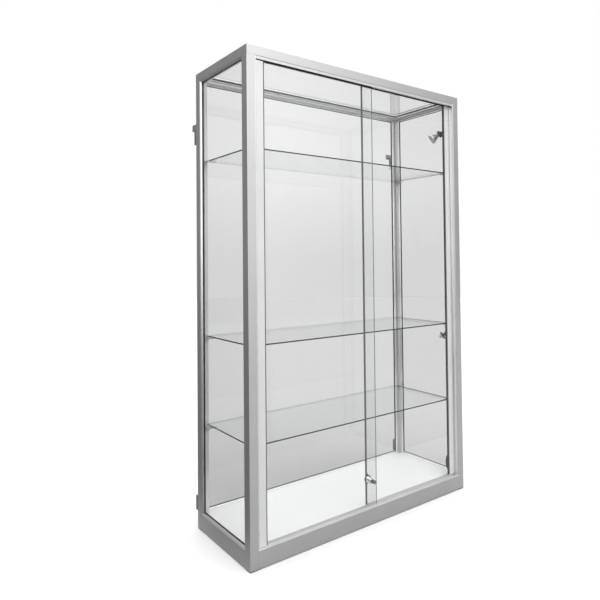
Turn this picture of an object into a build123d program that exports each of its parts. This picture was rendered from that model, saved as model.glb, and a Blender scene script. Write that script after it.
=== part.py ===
"""Free-standing glass display showcase with two sliding doors.

Origin at the middle of the footprint on the floor, +X to the viewer's right, +Y to the back, +Z up.
All lengths are millimetres. The doors are closed and the lock is open, its plunger sprung out.
"""

import os
from math import cos, radians, sin

from build123d import *

# Overall size
WIDTH = 1200.0
DEPTH = 420.0  # over the frame, without the lock and the wall brackets
HEIGHT = 1900.0

# Aluminium frame
SECTION = 35.0  # square section of posts and top rails
WALL = 2.0
EDGE_RADIUS = 1.0
PLINTH_TOP = 68.0
GLIDE_PAD = 3.0
TOP_GLASS_RECESS = 8.0

# Glass and its glazing
PANE = 5.0
GLAZING_FACE = 8.0  # width of the glazing frame's face
GLAZING_DEPTH = 18.0
GLAZING_SETBACK = 1.0  # behind the outer face of the posts
GLAZING_CHAMFER = 4.5  # slope round the glass, outside
GLAZING_INNER_CHAMFER = 3.5
GLASS_MIDDLE = 11.0  # from the outer face of the posts to the middle of the glass
GASKET_DEPTH = 7.0
GASKET_SHOWS = 1.0  # gasket seen beyond the glazing frame
GASKET_SEAT = 2.0
PANE_SEAT = 4.0

# Deck and shelves
DECK_THICKNESS = 18.0
SHELF_GLASS = 6.0
LOWEST_SHELF = 423.5
SHELF_PITCH = 368.0
SHELF_SLOTS = (0, 1, 2, 3)
SHELF_SLOTS_USED = (0, 1, 3)  # the third position carries no shelf
SHELF_HALF_WIDTH = 563.5
SHELF_FRONT = -168.0
SHELF_BACK = 190.0
SHELF_CHAMFER = 0.6

# Sliding doors and their tracks
FRONT_TRACK_Y = -199.0
REAR_TRACK_Y = -182.0
LIP = 2.0
LIP_REACH = 5.0  # how far the jamb lips stand into the opening
LIP_YS = (-207.0, -190.5, -173.0)
TRACK_BOTTOM = 58.0
TRACK_FLOOR = 2.0
FRONT_LIP_TOP = 72.0
RIDGE = 2.0
TOP_FINS = (11.5, 7.5, 7.5)
DOOR_SIDE_GAP = 2.5  # between a closed door and the post
PROFILE_WIDTH = 35.5
PROFILE_DEPTH = 12.0
WEDGE_WIDTH = 5.0  # rubber wedges between a door's profile and its glass
WEDGE_DEPTH = 2.0
SHOE_WIDTH = 11.0
SHOE_BOTTOM = 64.0
SHOE_TOP = 75.0
CAP_WIDTH = 8.0
FRONT_CAP_BOTTOM = 1849.5
REAR_CAP_BOTTOM = 1855.0
CAP_TOP = 1861.5
PANE_BOTTOM = 69.5
PANE_TOP = 1858.5
LEFT_DOOR_EDGE = 30.0  # right-hand edge of the front door
RIGHT_DOOR_EDGE = -13.0  # left-hand edge of the rear door's glass
SEAL_SHOWS = 1.5  # edge seal beyond the glass
STRIKE_REACH = 6.0  # the seal's thicker stretch behind the lock, in front of the glass

# Plunger lock, on the front door beside the rear door's edge
LOCK_X = -21.0
LOCK_Z = 189.0
LOCK_STROKE = 8.0
LOCK_LENGTH = 44.5  # from the glass to the plunger's end, plunger out
PLUNGER_RADIUS = 7.5
BOLT_RADIUS = 4.5
CORE_RADIUS = 4.0
RUNNING_GAP = 0.35

# Spotlights on the right-hand front post
SPOT_PIVOT_X = 556.0
SPOT_PIVOT_Y = -146.0
UPPER_SPOT_Z = 1734.0
MIDDLE_SPOT_Z = 739.0
SPOT_TILT = 50.0  # degrees away from the base's own axis
SPOT_TURN = 47.0  # degrees from straight down towards the back

# Lamp switch behind the right-hand jamb
SWITCH_X = 552.0
SWITCH_Y = -159.0
SWITCH_BOTTOM = 88.0
SWITCH_LENGTH = 62.0
SWITCH_WIDTH = 22.0
SWITCH_THICKNESS = 18.0
ROCKER_TILT = 7.0

# Wall fixings on the rear posts
SPACER_DEPTH = 17.0
SPACER_HEIGHT = 59.0
SPACER_BOTTOMS = (72.0, 1603.0)
BRACKET_DEPTH = 36.0
BRACKET_HEIGHT = 27.0
BRACKET_PLATE = 3.0
WALL_HOLE = 6.5
WALL_HOLE_X = 574.0

# Screws that hold clips, spacers and brackets
SCREW_RADIUS = 2.0
SCREW_HOLE_RADIUS = 2.2
SCREW_HEAD_RADIUS = 4.0
SCREW_HEAD = 2.5
SCREW_LENGTH = 12.0

# Derived positions
HALF_WIDTH = WIDTH / 2
HALF_DEPTH = DEPTH / 2
INNER_X = HALF_WIDTH - SECTION
INNER_Y = HALF_DEPTH - SECTION
POST_X = HALF_WIDTH - SECTION / 2
POST_Y = HALF_DEPTH - SECTION / 2
RAIL_BOTTOM = HEIGHT - SECTION
TRACK_HALF = INNER_X - LIP_REACH
TRACK_ACROSS = LIP_YS[0] - LIP / 2, LIP_YS[-1] + LIP / 2
DECK_BOTTOM = PLINTH_TOP - DECK_THICKNESS
SHELF_LEVELS = [LOWEST_SHELF + SHELF_PITCH * slot for slot in SHELF_SLOTS_USED]
SLOT_LEVELS = [LOWEST_SHELF + SHELF_PITCH * slot for slot in SHELF_SLOTS]
CLIP_X = 576.5
CLIP_SCREW_DROP = 13.0
DOOR_OUTER = INNER_X - DOOR_SIDE_GAP
BRACKET_Z = SPACER_BOTTOMS[1] + SPACER_HEIGHT + BRACKET_HEIGHT / 2
SPACER_MIDDLES = [bottom + SPACER_HEIGHT / 2 for bottom in SPACER_BOTTOMS]
DOOR_GLASS_FRONT = FRONT_TRACK_Y - PANE / 2

FRONT, REAR, LEFT, RIGHT = (0, -1), (0, 1), (-1, 0), (1, 0)
SIDES = {"front": FRONT, "rear": REAR, "left": LEFT, "right": RIGHT}
CORNERS = [(x, y) for x in (-1, 1) for y in (-1, 1)]

os.makedirs("parts", exist_ok=True)


def finish(piece, name):
    """Labels a finished piece and writes its STEP file."""
    piece.part.label = name
    export_step(piece.part, f"parts/{name}.step")


def block(x, y, z, mode=Mode.ADD):
    """A box in the open part, from three (low, high) spans."""
    middle = [(low + high) / 2 for low, high in (x, y, z)]
    with Locations(tuple(middle)):
        Box(x[1] - x[0], y[1] - y[0], z[1] - z[0], mode=mode)


def span(middle, size):
    """The (low, high) span of a size about its middle."""
    return middle - size / 2, middle + size / 2


# ---------------------------------------------------------------- frame

def make_post(side_x, side_y):
    """Square tube with a row of shelf screw holes and, at the rear, the wall fixings' holes."""
    with BuildPart() as post:
        with BuildSketch(Plane.XY.offset(GLIDE_PAD)):
            with Locations((side_x * POST_X, side_y * POST_Y)):
                RectangleRounded(SECTION, SECTION, EDGE_RADIUS)
                Rectangle(SECTION - 2 * WALL, SECTION - 2 * WALL, mode=Mode.SUBTRACT)
        extrude(amount=RAIL_BOTTOM - GLIDE_PAD)
        with BuildSketch(Plane.XZ.offset(-side_y * INNER_Y)):
            with Locations(*[(side_x * CLIP_X, level - CLIP_SCREW_DROP) for level in SLOT_LEVELS]):
                Circle(SCREW_HOLE_RADIUS)
        extrude(amount=WALL, both=True, mode=Mode.SUBTRACT)
        if side_y > 0:
            with BuildSketch(Plane.XZ.offset(-HALF_DEPTH)):
                with Locations(*[(side_x * POST_X, z) for z in (*SPACER_MIDDLES, BRACKET_Z)]):
                    Circle(SCREW_HOLE_RADIUS)
            extrude(amount=WALL, both=True, mode=Mode.SUBTRACT)
    return post


for side_x, side_y in CORNERS:
    end = "front" if side_y < 0 else "rear"
    hand = "left" if side_x < 0 else "right"
    finish(make_post(side_x, side_y), f"post_{end}_{hand}")


def rail_plan(side, inset):
    """Plan of a top rail with mitred ends, or of its bore when inset by the wall."""
    away_x, away_y = side
    outer = HALF_WIDTH - inset, HALF_DEPTH - inset
    inner = INNER_X + inset, INNER_Y + inset
    corners = [(outer, -1), (outer, 1), (inner, 1), (inner, -1)]
    return [
        ((away_x + end * abs(away_y)) * reach[0], (away_y + end * abs(away_x)) * reach[1])
        for reach, end in corners
    ]


CONNECTOR_STEM = 10.0  # radius of the connector's stem into the post
STEM_GAP = 0.2


def make_top_rail(side):
    """Hollow rail, mitred into its neighbours, with half a stem hole at each corner."""
    with BuildPart() as rail:
        with BuildSketch(Plane.XY.offset(RAIL_BOTTOM)):
            Polygon(*rail_plan(side, 0), align=None)
        extrude(amount=SECTION)
        with BuildSketch(Plane.XY.offset(RAIL_BOTTOM + WALL)):
            Polygon(*rail_plan(side, WALL), align=None)
        extrude(amount=SECTION - 2 * WALL, mode=Mode.SUBTRACT)
        with BuildSketch(Plane.XY.offset(RAIL_BOTTOM)):
            with Locations(*[(x * POST_X, y * POST_Y) for x, y in CORNERS]):
                Circle(CONNECTOR_STEM + STEM_GAP)
        extrude(amount=WALL, mode=Mode.SUBTRACT)
    return rail


def make_plinth(side, seat):
    """Folded face between two posts, with a foot and a seat that carries the deck or the track."""
    away_x, away_y = side
    with BuildPart() as plinth:
        across_x = (-INNER_X, INNER_X) if away_y else sorted((away_x * INNER_X, away_x * HALF_WIDTH))
        across_y = (-INNER_Y, INNER_Y) if away_x else sorted((away_y * INNER_Y, away_y * HALF_DEPTH))
        block(across_x, across_y, (GLIDE_PAD, PLINTH_TOP))
        hollow_x = [value - away_x * WALL for value in across_x]
        hollow_y = [value - away_y * WALL for value in across_y]
        block(hollow_x, hollow_y, (GLIDE_PAD + WALL, seat - WALL), Mode.SUBTRACT)
        block(hollow_x, hollow_y, (seat, PLINTH_TOP), Mode.SUBTRACT)
    return plinth


for name, side in SIDES.items():
    finish(make_top_rail(side), f"top_rail_{name}")
    finish(make_plinth(side, TRACK_BOTTOM if name == "front" else DECK_BOTTOM), f"plinth_{name}")

# Corner connectors: two arms inside the mitred rails and a stem down into the post
CONNECTOR_SLACK = 0.6
CONNECTOR_SECTION = SECTION - 2 * WALL - CONNECTOR_SLACK
CONNECTOR_ARM = 75.0
CONNECTOR_DROP = 45.0
with BuildPart() as corner_connectors:
    for side_x, side_y in CORNERS:
        corner_x, corner_y = side_x * POST_X, side_y * POST_Y
        reach = CONNECTOR_ARM - CONNECTOR_SECTION / 2
        tall = span(RAIL_BOTTOM + SECTION / 2, CONNECTOR_SECTION)
        near_x = corner_x + side_x * CONNECTOR_SECTION / 2
        near_y = corner_y + side_y * CONNECTOR_SECTION / 2
        block(sorted((near_x, corner_x - side_x * reach)), span(corner_y, CONNECTOR_SECTION), tall)
        block(span(corner_x, CONNECTOR_SECTION), sorted((near_y, corner_y - side_y * reach)), tall)
        with BuildSketch(Plane.XY.offset(RAIL_BOTTOM + SECTION / 2)):
            with Locations((corner_x, corner_y)):
                Circle(CONNECTOR_STEM)
        extrude(amount=-(SECTION / 2 + CONNECTOR_DROP))
finish(corner_connectors, "corner_connectors")

# Floor glides: plugs in the feet of the posts, each with a pad on the floor
GLIDE_PLUG = 24.0
GLIDE_CORNER = 3.0
GLIDE_MARGIN = 1.0
with BuildPart() as floor_glides:
    for side_x, side_y in CORNERS:
        with BuildSketch():
            with Locations((side_x * POST_X, side_y * POST_Y)):
                RectangleRounded(SECTION - 2 * GLIDE_MARGIN, SECTION - 2 * GLIDE_MARGIN, GLIDE_CORNER)
        extrude(amount=GLIDE_PAD)
        with BuildSketch(Plane.XY.offset(GLIDE_PAD)):
            with Locations((side_x * POST_X, side_y * POST_Y)):
                Rectangle(SECTION - 2 * WALL, SECTION - 2 * WALL)
        extrude(amount=GLIDE_PLUG)
finish(floor_glides, "floor_glides")

# ---------------------------------------------------------------- glazing

WIDE, DEEP, TALL = 2 * INNER_X, 2 * INNER_Y, RAIL_BOTTOM - PLINTH_TOP
MIDDLE = (RAIL_BOTTOM + PLINTH_TOP) / 2
GLAZED = {  # outer face, width and height of each opening
    "left": (Plane((-HALF_WIDTH, 0, MIDDLE), (0, -1, 0), (-1, 0, 0)), DEEP, TALL),
    "right": (Plane((HALF_WIDTH, 0, MIDDLE), (0, 1, 0), (1, 0, 0)), DEEP, TALL),
    "rear": (Plane((0, HALF_DEPTH, MIDDLE), (-1, 0, 0), (0, 1, 0)), WIDE, TALL),
    "top": (Plane.XY.offset(HEIGHT - TOP_GLASS_RECESS), WIDE, DEEP),
}
FRAME_MIDDLE = GLAZING_SETBACK + GLAZING_DEPTH / 2


def panel(face, width, height, inset, thickness, mode=Mode.ADD, behind=GLASS_MIDDLE):
    """A plate behind the opening's face, smaller than the opening by the inset on every side."""
    with Locations(face.offset(-behind)):
        Box(width - 2 * inset, height - 2 * inset, thickness, mode=mode)


for name, opening in GLAZED.items():
    with BuildPart() as glazing_frame:
        panel(*opening, 0, GLAZING_DEPTH, behind=FRAME_MIDDLE)
        panel(*opening, GLAZING_FACE, GLAZING_DEPTH, Mode.SUBTRACT, FRAME_MIDDLE)
        panel(*opening, GASKET_SEAT, GASKET_DEPTH, Mode.SUBTRACT)
        for end, slope in ((-1, GLAZING_CHAMFER), (0, GLAZING_INNER_CHAMFER)):
            face = glazing_frame.faces().sort_by(Axis((0, 0, 0), opening[0].z_dir))[end]
            chamfer(face.inner_wires()[0].edges(), slope)
    finish(glazing_frame, f"{name}_glazing_frame")
    with BuildPart() as pane:
        panel(*opening, PANE_SEAT, PANE)
    finish(pane, f"{name}_glass")

with BuildPart() as glazing_gaskets:
    for opening in GLAZED.values():
        panel(*opening, GASKET_SEAT, GASKET_DEPTH)
        panel(*opening, GLAZING_FACE + GASKET_SHOWS, GASKET_DEPTH, Mode.SUBTRACT)
        panel(*opening, PANE_SEAT, PANE, Mode.SUBTRACT)
finish(glazing_gaskets, "glazing_gaskets")

# ---------------------------------------------------------------- deck and shelves

DECK_GAP = 0.5
DECK_HALF = HALF_WIDTH - WALL - DECK_GAP
DECK_ACROSS = TRACK_ACROSS[1] + DECK_GAP, HALF_DEPTH - WALL - DECK_GAP
with BuildPart() as deck:
    block((-DECK_HALF, DECK_HALF), DECK_ACROSS, (DECK_BOTTOM, PLINTH_TOP))
    for side in (-1, 1):
        notch = sorted((side * (INNER_X - DECK_GAP), side * HALF_WIDTH))
        block(notch, (INNER_Y - DECK_GAP, HALF_DEPTH), (DECK_BOTTOM, PLINTH_TOP), Mode.SUBTRACT)
finish(deck, "deck")

for name, level in zip(("lower", "middle", "upper"), SHELF_LEVELS):
    with BuildPart() as shelf:
        block((-SHELF_HALF_WIDTH, SHELF_HALF_WIDTH), (SHELF_FRONT, SHELF_BACK), (level, level + SHELF_GLASS))
        chamfer(shelf.edges(), SHELF_CHAMFER)
    finish(shelf, f"shelf_{name}")

# Each clip has a plate on the post and a tongue that reaches under the shelf's corner
CLIP_OUTER = 580.0
CLIP_PLATE_INNER = 567.0
TONGUE_INNER = 540.0
TONGUE_FRONT = 168.0
TONGUE_BACK = 140.0
CLIP_PLATE = 3.0
CLIP_DROP = 22.0
PAD_RADIUS = 5.0
PAD_HEIGHT = 1.0
PAD_X, PAD_Y = 551.0, 153.0
with BuildPart() as shelf_clips:
    for side_x, side_y in CORNERS:
        for level in SHELF_LEVELS:
            tongue_top = level - PAD_HEIGHT
            plate_x = sorted((side_x * CLIP_PLATE_INNER, side_x * CLIP_OUTER))
            plate_y = sorted((side_y * INNER_Y, side_y * (INNER_Y - CLIP_PLATE)))
            block(plate_x, plate_y, (level - CLIP_DROP, tongue_top))
            tongue = tongue_top - CLIP_PLATE, tongue_top
            block(plate_x, sorted((side_y * INNER_Y, side_y * TONGUE_BACK)), tongue)
            tongue_x = sorted((side_x * TONGUE_INNER, side_x * CLIP_OUTER))
            block(tongue_x, sorted((side_y * TONGUE_FRONT, side_y * TONGUE_BACK)), tongue)
        with BuildSketch(Plane.XZ.offset(-side_y * INNER_Y)):
            with Locations(*[(side_x * CLIP_X, level - CLIP_SCREW_DROP) for level in SHELF_LEVELS]):
                Circle(SCREW_HOLE_RADIUS)
        extrude(amount=CLIP_PLATE, both=True, mode=Mode.SUBTRACT)
finish(shelf_clips, "shelf_clips")

with BuildPart() as shelf_pads:
    for level in SHELF_LEVELS:
        with BuildSketch(Plane.XY.offset(level)):
            with Locations(*[(x * PAD_X, y * PAD_Y) for x, y in CORNERS]):
                Circle(PAD_RADIUS)
        extrude(amount=-PAD_HEIGHT)
finish(shelf_pads, "shelf_pads")

# ---------------------------------------------------------------- tracks and jambs

FLOOR_TOP = TRACK_BOTTOM + TRACK_FLOOR
RIDGE_TOP = FLOOR_TOP + RIDGE
ALONG = -TRACK_HALF, TRACK_HALF

with BuildPart() as bottom_track:
    block(ALONG, TRACK_ACROSS, (TRACK_BOTTOM, FLOOR_TOP))
    for lip_y, lip_top in zip(LIP_YS, (FRONT_LIP_TOP, PLINTH_TOP, PLINTH_TOP)):
        block(ALONG, span(lip_y, LIP), (TRACK_BOTTOM, lip_top))
    for ridge_y in (FRONT_TRACK_Y, REAR_TRACK_Y):
        block(ALONG, span(ridge_y, RIDGE), (TRACK_BOTTOM, RIDGE_TOP))
finish(bottom_track, "bottom_track")

with BuildPart() as top_track:
    block(ALONG, TRACK_ACROSS, (RAIL_BOTTOM - LIP, RAIL_BOTTOM))
    for lip_y, fin in zip(LIP_YS, TOP_FINS):
        block(ALONG, span(lip_y, LIP), (RAIL_BOTTOM - fin, RAIL_BOTTOM))
finish(top_track, "top_track")

JAMB_WEB = 1.8
with BuildPart() as jambs:
    for side in (-1, 1):
        web = sorted((side * (INNER_X - JAMB_WEB), side * INNER_X))
        block(web, TRACK_ACROSS, (TRACK_BOTTOM, RAIL_BOTTOM))
        for lip_y in LIP_YS:
            block(sorted((side * TRACK_HALF, side * INNER_X)), span(lip_y, LIP), (TRACK_BOTTOM, RAIL_BOTTOM))
finish(jambs, "jambs")

# ---------------------------------------------------------------- doors

GLIDE_LENGTH = 40.0
GLIDE_WIDTH = 8.0
GLIDE_BOTTOM = FLOOR_TOP + 1.0
GLIDE_GROOVE = RIDGE + 1.0
GLIDE_INSET = 60.0
GROOVE = 1.0
GROOVE_PITCH = 6.0
PANE_IN_PROFILE = 5.5  # from the profile's outer face to the glass edge
RIDGE_GAP = 0.4
LOCK_HOLE_RADIUS = 10.0

# name, track, the profile's outer face, the glass edge and the shoe's end in the middle, the cap's bottom
DOORS = (
    ("left", FRONT_TRACK_Y, -DOOR_OUTER, LEFT_DOOR_EDGE, LEFT_DOOR_EDGE, FRONT_CAP_BOTTOM),
    ("right", REAR_TRACK_Y, DOOR_OUTER, RIGHT_DOOR_EDGE, RIGHT_DOOR_EDGE - SEAL_SHOWS, REAR_CAP_BOTTOM),
)


def add_wedges(side, track_y, cap_bottom):
    """The two rubber wedges that press on a door's glass beside its profile."""
    near = side * (DOOR_OUTER - PROFILE_WIDTH)
    for face in (-1, 1):
        against = track_y + face * PANE / 2
        across = sorted((against, against + face * WEDGE_DEPTH))
        block(sorted((near, near - side * WEDGE_WIDTH)), across, (SHOE_TOP, cap_bottom))


for name, track_y, outer, glass_edge, shoe_edge, cap_bottom in DOORS:
    side = 1 if outer > 0 else -1
    glass_x = sorted((outer - side * PANE_IN_PROFILE, glass_edge))
    full_x = sorted((outer, shoe_edge))
    with BuildPart() as door_glass:
        block(glass_x, span(track_y, PANE), (PANE_BOTTOM, PANE_TOP))
        if name == "left":
            with BuildSketch(Plane.XZ.offset(-track_y)):
                with Locations((LOCK_X, LOCK_Z)):
                    Circle(LOCK_HOLE_RADIUS)
            extrude(amount=PANE, both=True, mode=Mode.SUBTRACT)
    finish(door_glass, f"{name}_door_glass")

    # Edge profile: a channel over the glass edge, fluted front and back as a finger grip
    with BuildPart() as door_profile:
        with BuildSketch(Plane.XY.offset(SHOE_TOP)):
            with Locations((outer - side * PROFILE_WIDTH / 2, track_y)):
                Rectangle(PROFILE_WIDTH, PROFILE_DEPTH)
                flutes = [(GROOVE_PITCH * step, face * PROFILE_DEPTH / 2)
                          for step in range(-2, 3) for face in (-1, 1)]
                with Locations(*flutes):
                    Rectangle(GROOVE, 2 * GROOVE, mode=Mode.SUBTRACT)
            slot = PROFILE_WIDTH - PANE_IN_PROFILE
            with Locations((outer - side * (PANE_IN_PROFILE + slot / 2), track_y)):
                Rectangle(slot, PANE, mode=Mode.SUBTRACT)
        extrude(amount=cap_bottom - SHOE_TOP)
    finish(door_profile, f"{name}_door_profile")

    # Bottom shoe: carries the glass and straddles the track's ridge on two glides
    with BuildPart() as door_shoe:
        block(full_x, span(track_y, SHOE_WIDTH), (SHOE_BOTTOM, SHOE_TOP))
        block(glass_x, span(track_y, PANE), (PANE_BOTTOM, SHOE_TOP), Mode.SUBTRACT)
        for middle in (full_x[0] + GLIDE_INSET, full_x[1] - GLIDE_INSET):
            block(span(middle, GLIDE_LENGTH), span(track_y, GLIDE_WIDTH), (GLIDE_BOTTOM, SHOE_BOTTOM))
            groove = GLIDE_BOTTOM, RIDGE_TOP + RIDGE_GAP
            block(span(middle, GLIDE_LENGTH), span(track_y, GLIDE_GROOVE), groove, Mode.SUBTRACT)
    finish(door_shoe, f"{name}_door_shoe")

    with BuildPart() as door_cap:
        block(full_x, span(track_y, CAP_WIDTH), (cap_bottom, CAP_TOP))
        block(glass_x, span(track_y, PANE), (cap_bottom, PANE_TOP), Mode.SUBTRACT)
    finish(door_cap, f"{name}_door_cap")

with BuildPart() as left_door_wedges:
    add_wedges(-1, FRONT_TRACK_Y, FRONT_CAP_BOTTOM)
finish(left_door_wedges, "left_door_wedges")

# Edge seal of the rear door, and its wedges: the lock's pushed-in bolt stops against the seal's strike
SEAL_WIDTH = 4.5
SEAL_WALL = 1.0
SEAL_ENDS = 1.5
STRIKE_HEIGHT = 36.0
seal_left = RIGHT_DOOR_EDGE - SEAL_SHOWS
seal_front = REAR_TRACK_Y - PANE / 2
with BuildPart() as right_door_seals:
    tall = SHOE_TOP + SEAL_ENDS, REAR_CAP_BOTTOM - SEAL_ENDS
    seal_x = seal_left, seal_left + SEAL_WIDTH
    block(seal_x, span(REAR_TRACK_Y, PANE + 2 * SEAL_WALL), tall)
    block(seal_x, (seal_front - STRIKE_REACH, seal_front), span(LOCK_Z, STRIKE_HEIGHT))
    block((RIGHT_DOOR_EDGE, seal_x[1]), span(REAR_TRACK_Y, PANE), tall, Mode.SUBTRACT)
    add_wedges(1, REAR_TRACK_Y, REAR_CAP_BOTTOM)
finish(right_door_seals, "right_door_seals")

# ---------------------------------------------------------------- lock

LOCK_AXIS = Axis((LOCK_X, DOOR_GLASS_FRONT, LOCK_Z), (0, -1, 0))
LOCK_PLANE = Plane((LOCK_X, DOOR_GLASS_FRONT, LOCK_Z), (1, 0, 0), (0, 0, -1))  # local y points forwards
WASHER = 2.0
WASHER_RADIUS = 17.0
FLANGE_RADIUS = 15.0
FLANGE = 3.0
SLEEVE_RADIUS = 9.5
BARREL_WIDE = 13.0
BARREL_NARROW = 9.5
BARREL_END = 26.5
BORE_FLOOR = 8.0
NUT = 3.0
NUT_RADIUS = 13.5
REAR_END = -(PANE + NUT)
BOLT_SHORT = 0.5  # how far the bolt's tip stays inside the sleeve
HEAD_START = BORE_FLOOR + LOCK_STROKE + BOLT_SHORT
CORE_DEPTH = 12.0
KEYWAY = (1.4, 5.2)
WASHER_CHAMFER = 0.7
PLUNGER_CHAMFER = 0.8

with BuildPart() as lock_barrel:
    with BuildSketch(LOCK_PLANE):
        with BuildLine():
            Polyline(
                (BOLT_RADIUS + RUNNING_GAP, REAR_END),
                (SLEEVE_RADIUS, REAR_END),
                (SLEEVE_RADIUS, WASHER),
                (FLANGE_RADIUS, WASHER),
                (FLANGE_RADIUS, WASHER + FLANGE),
                (BARREL_WIDE, WASHER + FLANGE),
                (BARREL_NARROW, BARREL_END),
                (PLUNGER_RADIUS + RUNNING_GAP, BARREL_END),
                (PLUNGER_RADIUS + RUNNING_GAP, BORE_FLOOR),
                (BOLT_RADIUS + RUNNING_GAP, BORE_FLOOR),
                close=True,
            )
        make_face()
    revolve(axis=LOCK_AXIS)
finish(lock_barrel, "lock_barrel")

with BuildPart() as lock_washer:
    with BuildSketch(Plane((LOCK_X, DOOR_GLASS_FRONT, LOCK_Z), (1, 0, 0), (0, -1, 0))):
        Circle(WASHER_RADIUS)
        Circle(SLEEVE_RADIUS, mode=Mode.SUBTRACT)
    extrude(amount=WASHER)
    chamfer(lock_washer.faces().sort_by(Axis.Y)[0].outer_wire().edges(), WASHER_CHAMFER)
finish(lock_washer, "lock_washer")

with BuildPart() as lock_nut:
    with BuildSketch(Plane((LOCK_X, DOOR_GLASS_FRONT + PANE, LOCK_Z), (1, 0, 0), (0, 1, 0))):
        RegularPolygon(NUT_RADIUS, 6)
        Circle(SLEEVE_RADIUS, mode=Mode.SUBTRACT)
    extrude(amount=NUT)
finish(lock_nut, "lock_nut")

with BuildPart() as lock_plunger:
    with BuildSketch(LOCK_PLANE):
        with BuildLine():
            Polyline(
                (0, REAR_END + BOLT_SHORT),
                (BOLT_RADIUS, REAR_END + BOLT_SHORT),
                (BOLT_RADIUS, HEAD_START),
                (PLUNGER_RADIUS, HEAD_START),
                (PLUNGER_RADIUS, LOCK_LENGTH),
                (CORE_RADIUS + RUNNING_GAP, LOCK_LENGTH),
                (CORE_RADIUS + RUNNING_GAP, LOCK_LENGTH - CORE_DEPTH),
                (0, LOCK_LENGTH - CORE_DEPTH),
                close=True,
            )
        make_face()
    revolve(axis=LOCK_AXIS)
    front_face = lock_plunger.faces().sort_by(Axis.Y)[0]
    chamfer(front_face.outer_wire().edges(), PLUNGER_CHAMFER)
finish(lock_plunger, "lock_plunger")

KEYWAY_DEPTH = 8.0
with BuildPart() as lock_core:
    with BuildSketch(Plane((LOCK_X, DOOR_GLASS_FRONT - LOCK_LENGTH, LOCK_Z), (1, 0, 0), (0, 1, 0))):
        Circle(CORE_RADIUS)
    extrude(amount=CORE_DEPTH - RUNNING_GAP)
    with BuildSketch(Plane((LOCK_X, DOOR_GLASS_FRONT - LOCK_LENGTH, LOCK_Z), (1, 0, 0), (0, 1, 0))):
        Rectangle(*KEYWAY)
    extrude(amount=KEYWAY_DEPTH, mode=Mode.SUBTRACT)
finish(lock_core, "lock_core")

# ---------------------------------------------------------------- spotlights

AIM = Vector(
    -cos(radians(SPOT_TILT)),
    sin(radians(SPOT_TILT)) * sin(radians(SPOT_TURN)),
    -sin(radians(SPOT_TILT)) * cos(radians(SPOT_TURN)),
)
TILT_AXIS = Vector(0, -cos(radians(SPOT_TURN)), -sin(radians(SPOT_TURN)))
PLATE_INNER = 577.0
PLATE_OUTER = 580.0
PLATE_HEIGHT = 28.0
PLATE_REACH = 15.0  # past the lamp's pivot
BASE_END = 566.0
BASE_WIDE, BASE_NARROW = 12.0, 7.0
ARM_GAP = 0.4
ARM_FLANGE = 2.0
ARM_RADIUS = 6.5
KNUCKLE_RADIUS = 5.0
LUG = 5.0
CHEEK = 3.0
CHEEK_GAP = 0.4
PIN_RADIUS = 1.5
PIN_GAP = 0.3
DISC_START, DISC_END, DISC_RADIUS = 8.0, 16.0, 18.0

# One-piece base for each lamp: a plate on the post's back, folded along the side glass, and a cone
with BuildPart() as spot_bases:
    for lamp_z in (UPPER_SPOT_Z, MIDDLE_SPOT_Z):
        tall = span(lamp_z, PLATE_HEIGHT)
        block((CLIP_PLATE_INNER, PLATE_OUTER), (-INNER_Y, -INNER_Y + CLIP_PLATE), tall)
        block((PLATE_INNER, PLATE_OUTER), (-INNER_Y, SPOT_PIVOT_Y + PLATE_REACH), tall)
        cone_plane = Plane((PLATE_INNER, SPOT_PIVOT_Y, lamp_z), (0, 1, 0), (-1, 0, 0))
        with BuildSketch(cone_plane):
            Circle(BASE_WIDE)
        with BuildSketch(cone_plane.offset(PLATE_INNER - BASE_END)):
            Circle(BASE_NARROW)
        loft()
finish(spot_bases, "spot_bases")


def make_spot_arm(lamp_z):
    """Round flange that turns on the base, with a lug out to the tilt pin."""
    pivot = (SPOT_PIVOT_X, SPOT_PIVOT_Y, lamp_z)
    with BuildPart() as arm:
        with BuildSketch(Plane((BASE_END - ARM_GAP, SPOT_PIVOT_Y, lamp_z), (0, 1, 0), (-1, 0, 0))):
            Circle(ARM_RADIUS)
        extrude(amount=ARM_FLANGE)
        with BuildSketch(Plane(pivot, (1, 0, 0), TILT_AXIS)):
            Circle(KNUCKLE_RADIUS)
            to_flange = BASE_END - ARM_GAP - ARM_FLANGE / 2 - SPOT_PIVOT_X
            with Locations((to_flange / 2, 0)):
                Rectangle(to_flange, 2 * KNUCKLE_RADIUS)
            Circle(PIN_RADIUS + PIN_GAP, mode=Mode.SUBTRACT)
        extrude(amount=LUG / 2, both=True)
    return arm


def make_spot_holder(lamp_z):
    """Fork with its pin, carrying the round back plate of the lamp."""
    pivot = Vector(SPOT_PIVOT_X, SPOT_PIVOT_Y, lamp_z)
    fork_gap = LUG / 2 + CHEEK_GAP
    with BuildPart() as holder:
        with BuildSketch(Plane(pivot, AIM, TILT_AXIS)):
            Circle(KNUCKLE_RADIUS)
            with Locations((DISC_START / 2, 0)):
                Rectangle(DISC_START, 2 * KNUCKLE_RADIUS)
        extrude(amount=fork_gap + CHEEK, both=True)
        with BuildSketch(Plane(pivot, AIM, TILT_AXIS)):
            Rectangle(4 * KNUCKLE_RADIUS, 4 * KNUCKLE_RADIUS)
        extrude(amount=fork_gap, both=True, mode=Mode.SUBTRACT)
        with BuildSketch(Plane(pivot, AIM, TILT_AXIS)):
            Circle(PIN_RADIUS)
        extrude(amount=fork_gap + CHEEK, both=True)
        with BuildSketch(Plane(pivot + AIM * DISC_START, TILT_AXIS, AIM)):
            Circle(DISC_RADIUS)
        extrude(amount=DISC_END - DISC_START)
    return holder


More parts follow.
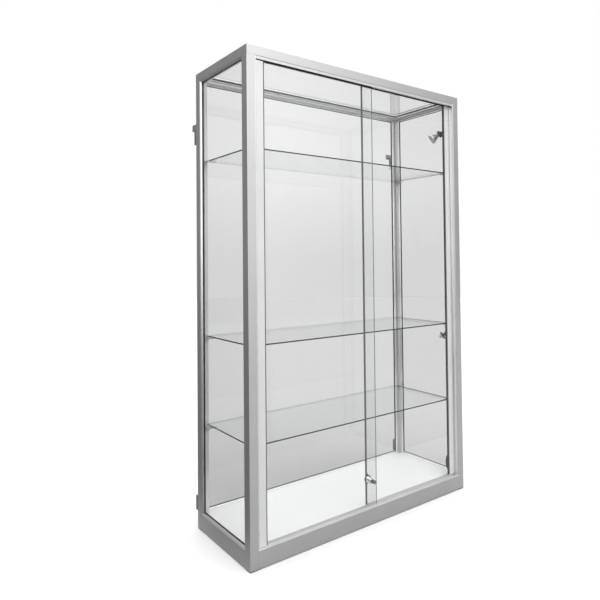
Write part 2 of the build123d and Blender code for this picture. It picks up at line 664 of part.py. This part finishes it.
for name, lamp_z in (("upper", UPPER_SPOT_Z), ("middle", MIDDLE_SPOT_Z)):
    finish(make_spot_arm(lamp_z), f"{name}_spot_arm")
    finish(make_spot_holder(lamp_z), f"{name}_spot_holder")

# The upper lamp: reflector shell on a closed neck, and its front lens
NECK_RADIUS = 10.0
NECK_END = 26.0
CONE_END = 52.0
RIM_END = 60.0
RIM_RADIUS = 25.0
SHELL = 1.5
LENS_BACK, LENS_FRONT = 57.0, 59.0
LENS_GAP = 0.1
upper_pivot = Vector(SPOT_PIVOT_X, SPOT_PIVOT_Y, UPPER_SPOT_Z)
lamp_section = Plane(upper_pivot, TILT_AXIS, TILT_AXIS.cross(AIM))  # local y runs along the aim

with BuildPart() as upper_spot_reflector:
    with BuildSketch(lamp_section):
        with BuildLine():
            Polyline(
                (0, DISC_END),
                (NECK_RADIUS, DISC_END),
                (NECK_RADIUS, NECK_END),
                (RIM_RADIUS, CONE_END),
                (RIM_RADIUS, RIM_END),
                (RIM_RADIUS - SHELL, RIM_END),
                (RIM_RADIUS - SHELL, CONE_END + SHELL / 2),
                (NECK_RADIUS - SHELL / 2, NECK_END + SHELL),
                (0, NECK_END + SHELL),
                close=True,
            )
        make_face()
    revolve(axis=Axis(upper_pivot, AIM))
finish(upper_spot_reflector, "upper_spot_reflector")

with BuildPart() as upper_spot_lens:
    with BuildSketch(Plane(upper_pivot + AIM * LENS_BACK, TILT_AXIS, AIM)):
        Circle(RIM_RADIUS - SHELL - LENS_GAP)
    extrude(amount=LENS_FRONT - LENS_BACK)
finish(upper_spot_lens, "upper_spot_lens")

# The middle lamp position holds only its ceramic socket, with two pin holes
SOCKET_RADIUS = 7.5
SOCKET_LENGTH = 14.0
SOCKET_PIN_SPACING = 5.3
SOCKET_PIN_RADIUS = 1.0
middle_pivot = Vector(SPOT_PIVOT_X, SPOT_PIVOT_Y, MIDDLE_SPOT_Z)
with BuildPart() as middle_spot_socket:
    with BuildSketch(Plane(middle_pivot + AIM * DISC_END, TILT_AXIS, AIM)):
        Circle(SOCKET_RADIUS)
    extrude(amount=SOCKET_LENGTH)
    with BuildSketch(Plane(middle_pivot + AIM * (DISC_END + SOCKET_LENGTH), TILT_AXIS, AIM)):
        with GridLocations(SOCKET_PIN_SPACING, 0, 2, 1):
            Circle(SOCKET_PIN_RADIUS)
    extrude(amount=-SOCKET_LENGTH / 2, mode=Mode.SUBTRACT)
finish(middle_spot_socket, "middle_spot_socket")

# ---------------------------------------------------------------- lamp switch

SWITCH_MIDDLE = SWITCH_BOTTOM + SWITCH_LENGTH / 2
SWITCH_END_WIDTH = 8.0
ROCKER = (8.0, 7.0, 18.0)
POCKET = (9.0, 8.0, 21.0)
SWITCH_BACK = SWITCH_Y + SWITCH_THICKNESS / 2
ROCKER_SHOWS = 1.5
ROCKER_Y = SWITCH_BACK + ROCKER_SHOWS - ROCKER[1] / 2
ROCKER_PIVOT = Plane((SWITCH_X, ROCKER_Y, SWITCH_MIDDLE), (0, 1, 0), (1, 0, 0))
TRUNNION_RADIUS = 1.2
TRUNNION_LENGTH = 12.0
TRUNNION_GAP = 0.1
TRUNNION_END_GAP = 0.3
SWITCH_FILLET = 3.0
SWITCH_CLIP_HEIGHT = 20.0

# The housing has its moulded clip, which runs round the jamb to the post's back face
with BuildPart() as switch_housing:
    with BuildSketch(Plane.XZ.offset(-SWITCH_BACK)):
        with BuildLine():
            half_end, half = SWITCH_END_WIDTH / 2, SWITCH_WIDTH / 2
            top = SWITCH_BOTTOM + SWITCH_LENGTH
            Line((SWITCH_X - half_end, SWITCH_BOTTOM), (SWITCH_X + half_end, SWITCH_BOTTOM))
            ThreePointArc((SWITCH_X + half_end, SWITCH_BOTTOM), (SWITCH_X + half, SWITCH_MIDDLE),
                          (SWITCH_X + half_end, top))
            Line((SWITCH_X + half_end, top), (SWITCH_X - half_end, top))
            ThreePointArc((SWITCH_X - half_end, top), (SWITCH_X - half, SWITCH_MIDDLE),
                          (SWITCH_X - half_end, SWITCH_BOTTOM))
        make_face()
    extrude(amount=SWITCH_THICKNESS)
    fillet(switch_housing.edges().filter_by(Axis.Y, reverse=True).group_by(Axis.Y)[-1], SWITCH_FILLET)
    pocket_y = SWITCH_BACK - POCKET[1], SWITCH_BACK
    block(span(SWITCH_X, POCKET[0]), pocket_y, span(SWITCH_MIDDLE, POCKET[2]), Mode.SUBTRACT)
    with BuildSketch(ROCKER_PIVOT):
        Circle(TRUNNION_RADIUS + TRUNNION_GAP)
    extrude(amount=TRUNNION_LENGTH / 2 + TRUNNION_END_GAP, both=True, mode=Mode.SUBTRACT)
    tall = span(SWITCH_MIDDLE, SWITCH_CLIP_HEIGHT)
    clip_front = SWITCH_Y - SWITCH_THICKNESS / 2
    block((CLIP_PLATE_INNER, PLATE_OUTER), (-INNER_Y, clip_front), tall)
    block((SWITCH_X - SWITCH_WIDTH / 3, PLATE_OUTER), (clip_front - CLIP_PLATE, clip_front), tall)
finish(switch_housing, "switch_housing")

with BuildPart() as switch_rocker:
    rocker_plane = Plane((SWITCH_X, ROCKER_Y, SWITCH_MIDDLE)).rotated((ROCKER_TILT, 0, 0))
    with BuildSketch(rocker_plane.offset(-ROCKER[2] / 2)):
        Rectangle(ROCKER[0], ROCKER[1])
    extrude(amount=ROCKER[2])
    with BuildSketch(ROCKER_PIVOT):
        Circle(TRUNNION_RADIUS)
    extrude(amount=TRUNNION_LENGTH / 2, both=True)
finish(switch_rocker, "switch_rocker")

# ---------------------------------------------------------------- wall fixings and screws

COUNTERBORE_RADIUS = 5.0
COUNTERBORE = 10.0
FLANGE_GAP = 1.0  # between a bracket's flange and the post's inner edge
with BuildPart() as wall_spacers:
    for side in (-1, 1):
        for bottom in SPACER_BOTTOMS:
            across = sorted((side * INNER_X, side * HALF_WIDTH))
            block(across, (HALF_DEPTH, HALF_DEPTH + SPACER_DEPTH), (bottom, bottom + SPACER_HEIGHT))
        screw_points = [(side * POST_X, z) for z in SPACER_MIDDLES]
        with BuildSketch(Plane.XZ.offset(-(HALF_DEPTH + SPACER_DEPTH))):
            with Locations(*screw_points):
                Circle(COUNTERBORE_RADIUS)
        extrude(amount=COUNTERBORE, mode=Mode.SUBTRACT)
        with BuildSketch(Plane.XZ.offset(-(HALF_DEPTH + SPACER_DEPTH))):
            with Locations(*screw_points):
                Circle(SCREW_HOLE_RADIUS)
        extrude(amount=SPACER_DEPTH, mode=Mode.SUBTRACT)
finish(wall_spacers, "wall_spacers")


# Folded straps: a flange on the post, a web back to the wall and a flange with the wall hole
WALL_Y = HALF_DEPTH + BRACKET_DEPTH
with BuildPart() as wall_brackets:
    tall = span(BRACKET_Z, BRACKET_HEIGHT)
    post_flange = HALF_DEPTH, HALF_DEPTH + BRACKET_PLATE
    wall_flange = WALL_Y - BRACKET_PLATE, WALL_Y
    for side in (-1, 1):
        outer = side * HALF_WIDTH
        block(sorted((side * (INNER_X + FLANGE_GAP), outer)), post_flange, tall)
        block(sorted((outer - side * BRACKET_PLATE, outer)), (HALF_DEPTH, WALL_Y), tall)
        block(sorted((side * (WALL_HOLE_X - BRACKET_HEIGHT / 2), outer)), wall_flange, tall)
    with BuildSketch(Plane.XZ.offset(-WALL_Y)):
        with Locations((-WALL_HOLE_X, BRACKET_Z), (WALL_HOLE_X, BRACKET_Z)):
            Circle(WALL_HOLE / 2)
    extrude(amount=BRACKET_PLATE, mode=Mode.SUBTRACT)
    with BuildSketch(Plane.XZ.offset(-HALF_DEPTH)):
        with Locations((-POST_X, BRACKET_Z), (POST_X, BRACKET_Z)):
            Circle(SCREW_HOLE_RADIUS)
    extrude(amount=-BRACKET_PLATE, mode=Mode.SUBTRACT)
finish(wall_brackets, "wall_brackets")

# Where each screw's head bears: x, y, z and the way its tip points along Y
SCREW_SEATS = [
    (side_x * CLIP_X, side_y * (INNER_Y - CLIP_PLATE), level - CLIP_SCREW_DROP, side_y)
    for side_x, side_y in CORNERS
    for level in SHELF_LEVELS
]
for side in (-1, 1):
    SCREW_SEATS += [(side * POST_X, HALF_DEPTH + SPACER_DEPTH - COUNTERBORE, z, -1) for z in SPACER_MIDDLES]
    SCREW_SEATS.append((side * POST_X, HALF_DEPTH + BRACKET_PLATE, BRACKET_Z, -1))

with BuildPart() as panel_screws:
    for x, y, z, way in SCREW_SEATS:
        with BuildSketch(Plane((x, y, z), (1, 0, 0), (0, way, 0))):
            Circle(SCREW_HEAD_RADIUS)
        extrude(amount=-SCREW_HEAD)
        with BuildSketch(Plane((x, y, z), (1, 0, 0), (0, way, 0))):
            Circle(SCREW_RADIUS)
        extrude(amount=SCREW_LENGTH)
finish(panel_screws, "panel_screws")
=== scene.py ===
"""Looks of the glass display showcase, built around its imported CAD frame. Metres, row frame."""
from math import cos, radians, sin

import bmesh
import bpy
from mathutils import Matrix, Vector


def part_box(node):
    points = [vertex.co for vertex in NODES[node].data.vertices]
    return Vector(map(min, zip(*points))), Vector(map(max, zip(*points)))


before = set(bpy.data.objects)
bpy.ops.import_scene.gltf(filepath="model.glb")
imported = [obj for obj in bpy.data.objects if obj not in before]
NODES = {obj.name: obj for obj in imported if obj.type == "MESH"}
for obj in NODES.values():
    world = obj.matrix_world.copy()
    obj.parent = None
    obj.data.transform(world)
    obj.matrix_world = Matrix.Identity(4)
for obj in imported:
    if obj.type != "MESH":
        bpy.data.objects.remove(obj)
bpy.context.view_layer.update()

X, Y, Z = range(3)

# ---------------------------------------------------------------- node helpers

COLOUR_A, COLOUR_B = 6, 7  # the colour sockets of a Mix node


class Shader:
    """The node tree of a material or world, with short calls for the nodes used here."""

    def __init__(self, owner, output="ShaderNodeOutputMaterial"):
        owner.use_nodes = True
        self.owner = owner
        self.tree = owner.node_tree
        self.tree.nodes.clear()
        self.output = self.add(output)

    def add(self, kind, inputs=(), **settings):
        """A new node. Each input is a plain value or another node's output."""
        node = self.tree.nodes.new(kind)
        for key, value in settings.items():
            setattr(node, key, value)
        for socket, value in dict(inputs).items():
            if isinstance(value, bpy.types.NodeSocket):
                self.tree.links.new(value, node.inputs[socket])
            else:
                node.inputs[socket].default_value = value
        return node

    def show(self, surface):
        self.tree.links.new(surface, self.output.inputs[0])

    def coordinates(self, scale=(1, 1, 1)):
        place = self.add("ShaderNodeTexCoord").outputs["Object"]
        return self.add("ShaderNodeMapping", {"Scale": scale, "Vector": place}).outputs[0]

    def part(self, vector, axis):
        return self.add("ShaderNodeSeparateXYZ", {0: vector}).outputs[axis]

    def noise(self, scale, stretch=(1, 1, 1), detail=4.0, roughness=0.55):
        settings = {"Scale": scale, "Detail": detail, "Roughness": roughness}
        settings["Vector"] = self.coordinates(stretch)
        return self.add("ShaderNodeTexNoise", settings).outputs["Fac"]

    def spread(self, source, low, high, start=0.3, end=0.7):
        """Takes source from start..end to low..high, and holds it level past both ends."""
        ends = {"From Min": start, "From Max": end, "To Min": low, "To Max": high}
        return self.add("ShaderNodeMapRange", {"Value": source, **ends}).outputs[0]

    def blend(self, factor, first, second):
        inputs = {0: factor, COLOUR_A: first, COLOUR_B: second}
        return self.add("ShaderNodeMix", inputs, data_type="RGBA").outputs[2]

    def math(self, operation, *operands):
        return self.add("ShaderNodeMath", enumerate(operands), operation=operation).outputs[0]

    def mix(self, factor, first, second):
        return self.add("ShaderNodeMixShader", {0: factor, 1: first, 2: second}).outputs[0]

    def bump(self, height, distance, strength):
        inputs = {"Height": height, "Distance": distance, "Strength": strength}
        return self.add("ShaderNodeBump", inputs).outputs[0]

    def principled(self, colour, roughness, normal, metallic=0.0):
        inputs = {"Base Color": colour, "Roughness": roughness, "Normal": normal}
        return self.add("ShaderNodeBsdfPrincipled", {"Metallic": metallic, **inputs}).outputs[0]


def material_shader(name):
    return Shader(bpy.data.materials.new(name))


def grey(value, tint=(1.0, 1.0, 1.0)):
    return tuple(value * part for part in tint) + (1.0,)


# ---------------------------------------------------------------- materials
# Noise scales are in repeats per metre and bump depths in metres.

COOL, WARM = (0.985, 0.99, 1.0), (1.0, 0.998, 0.99)
DRAWN_LINES, DRAWN_DEPTH = 900.0, 0.00004
SCRATCHES = 260.0
CLOUDS = 7.0


def drawn(along, squeeze):
    """Noise stretch that turns specks into lines along one axis."""
    return tuple(squeeze if axis == along else 1.0 for axis in range(3))


def make_aluminium(name, along, tone=0.72, roughness=0.36, metallic=1.0):
    """Satin anodised extrusion: drawing lines along its length, faint clouds, small scratches."""
    shader = material_shader(name)
    lines = shader.noise(DRAWN_LINES, drawn(along, 0.012), 3.0, 0.7)
    clouds = shader.noise(CLOUDS, detail=3.0, roughness=0.5)
    scratches = shader.noise(SCRATCHES, drawn(along, 0.05), 2.0, 0.5)
    shade = shader.blend(clouds, grey(tone * 0.94, COOL), grey(tone * 1.04, WARM))
    satin = shader.spread(lines, roughness - 0.05, roughness + 0.07)
    scuffed = shader.math("ADD", satin, shader.spread(scratches, 0.0, 0.03, 0.62, 0.75))
    normal = shader.bump(lines, DRAWN_DEPTH, 0.35)
    shader.show(shader.principled(shade, scuffed, normal, metallic))
    return shader.owner


FACE_ON_MIRROR = 0.04  # what a glass face mirrors when seen square on
SLANT_POWER = 5.0  # how suddenly it mirrors more at a slant
FILM = 0.02  # the most that smears and dust hide
DUST = (0.85, 0.87, 0.86, 1.0)
EDGE_IOR, EDGE_SPECULAR = 1.5, 0.25
EDGE_WITH_ROOM_BEHIND = 0.3  # share of the edge colour left where the room shows through
EDGE_STEP = 0.001


def glass_face(shader, tint, gloss):
    """Clear, mirrors more at a slant, and has a faint film of smears."""
    facing = shader.add("ShaderNodeLayerWeight", {"Blend": 0.5}).outputs["Facing"]
    slant = shader.math("POWER", facing, SLANT_POWER)
    mirror = shader.spread(slant, FACE_ON_MIRROR, 1.0, 0.0, 1.0)
    smears = shader.noise(5.0, (1, 1, 0.6), 5.0, 0.6)
    clear = shader.add("ShaderNodeBsdfTransparent", {"Color": (*tint, 1.0)}).outputs[0]
    shine = {"Roughness": gloss, "Color": grey(1.0)}
    glossy = shader.add("ShaderNodeBsdfGlossy", shine).outputs[0]
    dust = shader.add("ShaderNodeBsdfDiffuse", {"Color": DUST}).outputs[0]
    sheet = shader.mix(mirror, clear, glossy)
    return shader.mix(shader.spread(smears, 0.0, FILM, 0.45, 0.8), sheet, dust)


def glass_edge(shader, colour, gloss):
    """The cut and ground edge, with faint streaks."""
    streaks = shader.noise(60.0, detail=2.0, roughness=0.5)
    shade = shader.blend(streaks, grey(0.7, colour), grey(1.3, colour))
    shine = {"Roughness": gloss, "IOR": EDGE_IOR, "Specular IOR Level": EDGE_SPECULAR}
    return shader.add("ShaderNodeBsdfPrincipled", {"Base Color": shade, **shine}).outputs[0]


def make_glass(name, flat_axis, tint, edge_colour, edge_gloss=0.12, bright_behind=None):
    """Thin clear sheet: light goes straight through its faces, and the cut edges are deep green.

    Edges that lie further back than bright_behind pass most of the light from the room."""
    shader = material_shader(name)
    normal = shader.add("ShaderNodeNewGeometry").outputs["True Normal"]
    flatness = shader.math("ABSOLUTE", shader.part(normal, flat_axis))
    on_edge = shader.spread(flatness, 1.0, 0.0, 0.55, 0.8)
    if bright_behind is not None:
        depth = shader.part(shader.coordinates(), Y)
        start = bright_behind - EDGE_STEP
        fade = shader.spread(depth, 1.0, EDGE_WITH_ROOM_BEHIND, start, bright_behind)
        on_edge = shader.math("MULTIPLY", on_edge, fade)
    face = glass_face(shader, tint, edge_gloss / 8)
    shader.show(shader.mix(on_edge, face, glass_edge(shader, edge_colour, edge_gloss)))
    return shader.owner


def make_laminate():
    """White melamine face: almost even white with the faint orange-peel of a pressed sheet."""
    shader = material_shader("white_laminate")
    patches = shader.noise(3.0, detail=3.0)
    tone = shader.blend(patches, (0.86, 0.86, 0.855, 1.0), (0.91, 0.91, 0.905, 1.0))
    peel = shader.bump(shader.noise(700.0, detail=2.0), 0.00003, 0.4)
    rough = shader.spread(shader.noise(14.0, detail=3.0), 0.30, 0.42)
    shader.show(shader.principled(tone, rough, peel))
    return shader.owner


def make_plastic(name, dark, light, roughness, grain=1600.0, depth=0.00004):
    """Moulded plastic or rubber with a fine grain."""
    shader = material_shader(name)
    patches = shader.noise(30.0, detail=3.0)
    tone = shader.blend(patches, (*dark, 1.0), (*light, 1.0))
    rough = shader.spread(patches, roughness - 0.06, roughness + 0.08)
    grains = shader.bump(shader.noise(grain, detail=2.0), depth, 0.5)
    shader.show(shader.principled(tone, rough, grains))
    return shader.owner


def make_metal(name, dark, light, roughness, scale=220.0, depth=0.00002):
    """Plated or turned metal with fine marks."""
    shader = material_shader(name)
    marks = shader.noise(scale, roughness=0.6)
    tone = shader.blend(marks, (*dark, 1.0), (*light, 1.0))
    rough = shader.spread(marks, max(roughness - 0.04, 0.02), roughness + 0.06)
    shader.show(shader.principled(tone, rough, shader.bump(marks, depth, 0.3), 1.0))
    return shader.owner


CLEAR_TINT, PANE_EDGE = (0.985, 0.988, 0.986), (0.30, 0.36, 0.33)
SHELF_TINT, SHELF_EDGE = (0.975, 0.985, 0.98), (0.008, 0.024, 0.018)
SHELF_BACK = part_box("shelf_lower")[1][1] - 0.002
POLISHED = 0.000004  # depth of the marks in a polished plating

ALUMINIUM = [make_aluminium(f"anodised_along_{'xyz'[axis]}", axis) for axis in (X, Y, Z)]
TRACK = make_aluminium("track", X, 0.80, 0.40, 0.7)
BEAD = [make_aluminium(f"bead_along_{'xyz'[axis]}", axis, 0.86, 0.28) for axis in (X, Y, Z)]
PROFILE = make_aluminium("door_profile", Z, 0.90, 0.50, 0.55)
GLASS = [
    make_glass(f"clear_glass_{'xyz'[axis]}", axis, CLEAR_TINT, PANE_EDGE) for axis in (X, Y, Z)
]
SHELF_GLASS = make_glass("shelf_glass", Z, SHELF_TINT, SHELF_EDGE, 0.08, SHELF_BACK)
LAMINATE = make_laminate()
RUBBER = make_plastic("black_rubber", (0.012, 0.012, 0.013), (0.022, 0.022, 0.024), 0.62)
# Dark grey strips beside the door profiles: partly real seals, partly painted shade for the
# shadow gap there.
SEAL_AND_SHADE = make_plastic("seal_and_shade_plastic", (0.10, 0.105, 0.105), (0.14, 0.145, 0.145), 0.45)
BLACK = make_plastic("black_plastic", (0.010, 0.010, 0.011), (0.020, 0.020, 0.021), 0.38)
NYLON = make_plastic("grey_nylon", (0.16, 0.165, 0.17), (0.20, 0.205, 0.21), 0.5)
SILICONE = make_plastic("clear_silicone", (0.60, 0.63, 0.62), (0.70, 0.72, 0.71), 0.25)
ZINC = make_metal("zinc_steel", (0.50, 0.51, 0.52), (0.68, 0.68, 0.67), 0.30, 120.0)
CHROME = make_metal("chrome", (0.62, 0.63, 0.64), (0.74, 0.74, 0.75), 0.07, 300.0, POLISHED)
DARK_CHROME = make_metal(
    "dark_chrome", (0.16, 0.16, 0.17), (0.24, 0.24, 0.25), 0.14, 300.0, POLISHED
)
BRASS = make_metal("brass", (0.62, 0.48, 0.24), (0.78, 0.62, 0.34), 0.22, 300.0)
LAMP_SHELL = make_metal("lamp_shell", (0.46, 0.46, 0.47), (0.66, 0.66, 0.67), 0.28, 160.0)
CERAMIC = make_plastic("ceramic", (0.66, 0.65, 0.61), (0.76, 0.75, 0.72), 0.35)
LENS = make_plastic(
    "frosted_lens", (0.34, 0.35, 0.36), (0.42, 0.43, 0.44), 0.18, 500.0, 0.0002
)


def paint(node, material):
    """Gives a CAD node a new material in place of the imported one."""
    slots = NODES[node].data.materials
    slots.clear()
    slots.append(material)


PAINT = {
    ALUMINIUM[Z]: "post_front_left post_front_right post_rear_left post_rear_right",
    ALUMINIUM[X]: "top_rail_front top_rail_rear plinth_front plinth_rear",
    ALUMINIUM[Y]: "top_rail_left top_rail_right plinth_left plinth_right",
    BEAD[Z]: "left_glazing_frame right_glazing_frame rear_glazing_frame jambs",
    BEAD[X]: "top_glazing_frame",
    PROFILE: "left_door_profile right_door_profile",
    TRACK: "bottom_track top_track left_door_shoe right_door_shoe",
    GLASS[X]: "left_glass right_glass",
    GLASS[Y]: "rear_glass left_door_glass right_door_glass",
    GLASS[Z]: "top_glass",
    SHELF_GLASS: "shelf_lower shelf_middle shelf_upper",
    LAMINATE: "deck",
    # The door caps are black rubber; their black strip below the top track also stands in as
    # painted shade for the shadow gap there.
    RUBBER: "glazing_gaskets lock_washer left_door_cap right_door_cap",
    # seal strips beside the door profiles, partly painted shade for the shadow gap
    SEAL_AND_SHADE: "left_door_wedges right_door_seals",
    BLACK: "floor_glides spot_bases upper_spot_arm upper_spot_holder middle_spot_arm "
           "middle_spot_holder switch_housing switch_rocker",
    NYLON: "corner_connectors wall_spacers",
    SILICONE: "shelf_pads",
    ZINC: "shelf_clips wall_brackets panel_screws lock_nut",
    CHROME: "lock_barrel",
    DARK_CHROME: "lock_plunger",
    BRASS: "lock_core",
    LAMP_SHELL: "upper_spot_reflector",
    LENS: "upper_spot_lens",
    CERAMIC: "middle_spot_socket",
}
for material, names in PAINT.items():
    for node in names.split():
        paint(node, material)


# ---------------------------------------------------------------- softened edges

EDGE_WIDTHS = {  # by node; everything not named keeps its sharp CAD edge
    0.0008: "top_rail_front top_rail_rear top_rail_left top_rail_right "
            "post_front_left post_front_right post_rear_left post_rear_right",
    0.0006: "plinth_front plinth_rear plinth_left plinth_right deck wall_spacers wall_brackets",
    0.0003: "left_door_profile right_door_profile jambs bottom_track top_track left_door_shoe "
            "right_door_shoe left_door_cap right_door_cap shelf_clips spot_bases",
    0.0004: "upper_spot_arm upper_spot_holder middle_spot_arm middle_spot_holder "
            "switch_rocker lock_barrel middle_spot_socket upper_spot_reflector",
}
SHARP = radians(40)
SAME_PLACE = 1e-6


def soften(node, width):
    """Welds the imported mesh's split corners and rounds its sharp edges a little."""
    weld = NODES[node].modifiers.new("weld", "WELD")
    weld.merge_threshold = SAME_PLACE
    bevel = NODES[node].modifiers.new("soft_edges", "BEVEL")
    bevel.width = width
    bevel.segments = 2
    bevel.limit_method = "ANGLE"
    bevel.angle_limit = SHARP
    bevel.use_clamp_overlap = True
    bevel.harden_normals = False


for width, names in EDGE_WIDTHS.items():
    for node in names.split():
        soften(node, width)


# ---------------------------------------------------------------- camera

CAMERA_PLACE = (-1.61586, -1.91607, 1.11182)
CAMERA_YAW = 0.6364  # from +Y towards +X
CAMERA_PITCH = 0.0243
CAMERA_ROLL = -0.0095
CAMERA_LENS = 32.971
SENSOR = 36.0
SHIFT = (-0.00445, -0.08958)


def add_camera():
    level = Vector((sin(CAMERA_YAW), cos(CAMERA_YAW), 0))
    forward = level * cos(CAMERA_PITCH) + Vector((0, 0, sin(CAMERA_PITCH)))
    right = Vector((cos(CAMERA_YAW), -sin(CAMERA_YAW), 0))
    up = right.cross(forward)
    rolled_right = right * cos(CAMERA_ROLL) + up * sin(CAMERA_ROLL)
    rolled_up = up * cos(CAMERA_ROLL) - right * sin(CAMERA_ROLL)
    data = bpy.data.cameras.new("camera")
    data.lens, data.sensor_width = CAMERA_LENS, SENSOR
    data.shift_x, data.shift_y = SHIFT
    camera = bpy.data.objects.new("camera", data)
    turn = Matrix((rolled_right, rolled_up, -forward)).transposed()
    camera.matrix_world = Matrix.Translation(CAMERA_PLACE) @ turn.to_4x4()
    bpy.context.scene.collection.objects.link(camera)
    bpy.context.scene.camera = camera


# ---------------------------------------------------------------- floor and surroundings

FLOOR_RADIUS, FLOOR_SEGMENTS = 14.0, 96
FLOOR_DROP = 0.0005
FLOOR_WHITE = 0.74
FLOOR_SHADE_THROUGH_GLASS = 0.455  # painted shade: the floor seen through the glass is grey, darker than where seen directly
# Painted shade in reflections: the floor that the frame mirrors is grey, paler behind the
# showcase.
FLOOR_REFLECTION_SHADE, FLOOR_REFLECTION_SHADE_BEHIND = 0.34, 0.50
FLOOR_REFLECTION_DARK_SHADE = 0.10  # painted shade in reflections, left of the showcase
DARK_TO_PALE = (-0.80, -0.55)  # X
PALE_TO_BEHIND = (0.3, 0.8)  # Y


def seen_directly(shader):
    """1 for what the camera sees past the showcase, 0 through its glass and in reflections."""
    path = shader.add("ShaderNodeLightPath")
    no_glass_between = shader.math("LESS_THAN", path.outputs["Transparent Depth"], 0.5)
    return shader.math("MULTIPLY", path.outputs["Is Camera Ray"], no_glass_between)


def floor_disc():
    mesh = bpy.data.meshes.new("studio_floor")
    bm = bmesh.new()
    bmesh.ops.create_circle(bm, cap_ends=True, radius=FLOOR_RADIUS, segments=FLOOR_SEGMENTS)
    bmesh.ops.translate(bm, verts=bm.verts, vec=(0, 0, -FLOOR_DROP))
    bm.to_mesh(mesh)
    bm.free()
    disc = bpy.data.objects.new("studio_floor", mesh)
    bpy.context.scene.collection.objects.link(disc)
    return disc


def make_floor():
    """Plain white where seen directly; painted shade makes it grey through the glass and darker
    in reflections, darkest left of the showcase.
    """
    shader = material_shader("studio_floor")
    place = shader.coordinates()
    # painted shade in reflections: dark left of the showcase, paler behind it
    beside = shader.spread(shader.part(place, X), 0.0, 1.0, *DARK_TO_PALE)
    behind = shader.spread(shader.part(place, Y), 0.0, 1.0, *PALE_TO_BEHIND)
    pale = shader.blend(behind, grey(FLOOR_REFLECTION_SHADE), grey(FLOOR_REFLECTION_SHADE_BEHIND))
    painted_reflection_shade = shader.blend(beside, grey(FLOOR_REFLECTION_DARK_SHADE), pale)
    camera_ray = shader.add("ShaderNodeLightPath").outputs["Is Camera Ray"]
    shade = shader.blend(camera_ray, painted_reflection_shade, grey(FLOOR_SHADE_THROUGH_GLASS))
    painted_shade_floor = shader.add("ShaderNodeBsdfDiffuse", {"Color": shade}).outputs[0]
    white = shader.add("ShaderNodeBsdfDiffuse", {"Color": grey(FLOOR_WHITE)}).outputs[0]
    shader.show(shader.mix(seen_directly(shader), painted_shade_floor, white))
    return shader.owner


def add_floor():
    floor = floor_disc()
    floor.data.materials.append(make_floor())


ROOM = 0.22  # the grey room round the showcase
# Soft lights of the room: the way towards each, its gain, and the cosines where it starts
# and where it is full.
ROOM_LIGHTS = (
    ((0.10, -0.93, 0.35), 1.3, 0.70, 0.97),
    ((-0.84, -0.53, 0.10), 1.3, 0.84, 0.96),
    ((0.62, 0.78, 0.00), 0.44, 0.45, 0.85),
    ((0.00, 0.00, 1.00), 2.5, 0.45, 0.95),
)
BACKDROP = 0.78  # at the horizon, as seen through the glass
BACKDROP_RISE = 0.10
BACKDROP_HEIGHT = 0.14  # the slope at which the rise is complete
BACKDROP_DRIFT = 0.06


def background(shader, strength):
    inputs = {"Color": grey(1.0), "Strength": strength}
    return shader.add("ShaderNodeBackground", inputs).outputs[0]


def room_light(shader, direction):
    """The grey room with its large soft lights, by direction."""
    level = ROOM
    for way, gain, start, full in ROOM_LIGHTS:
        inputs = {0: direction, 1: way}
        towards = shader.add("ShaderNodeVectorMath", inputs, operation="DOT_PRODUCT")
        glow = shader.spread(towards.outputs["Value"], 0.0, gain, start, full)
        level = shader.math("ADD", level, glow)
    return level


def backdrop_light(shader, direction):
    """The backdrop seen through the glass: a little brighter upwards, and faintly uneven."""
    high = BACKDROP + BACKDROP_RISE
    rise = shader.spread(shader.part(direction, Z), BACKDROP, high, 0.0, BACKDROP_HEIGHT)
    clouds = {"Scale": 2.2, "Detail": 1.0, "Vector": direction}
    drift = shader.add("ShaderNodeTexNoise", clouds).outputs["Fac"]
    return shader.math(
        "MULTIPLY", rise, shader.spread(drift, 1 - BACKDROP_DRIFT, 1 + BACKDROP_DRIFT)
    )


def add_world():
    """Soft studio surroundings, with a plain white backdrop where it is seen directly."""
    world = bpy.data.worlds.new("studio")
    shader = Shader(world, "ShaderNodeOutputWorld")
    direction = shader.add("ShaderNodeTexCoord").outputs["Generated"]
    room = background(shader, room_light(shader, direction))
    behind = background(shader, backdrop_light(shader, direction))
    shown = shader.mix(seen_directly(shader), behind, background(shader, 1.0))
    camera_ray = shader.add("ShaderNodeLightPath").outputs["Is Camera Ray"]
    shader.show(shader.mix(camera_ray, room, shown))
    bpy.context.scene.world = world


add_camera()
add_floor()
add_world()
bpy.context.scene.view_settings.view_transform = "Standard"
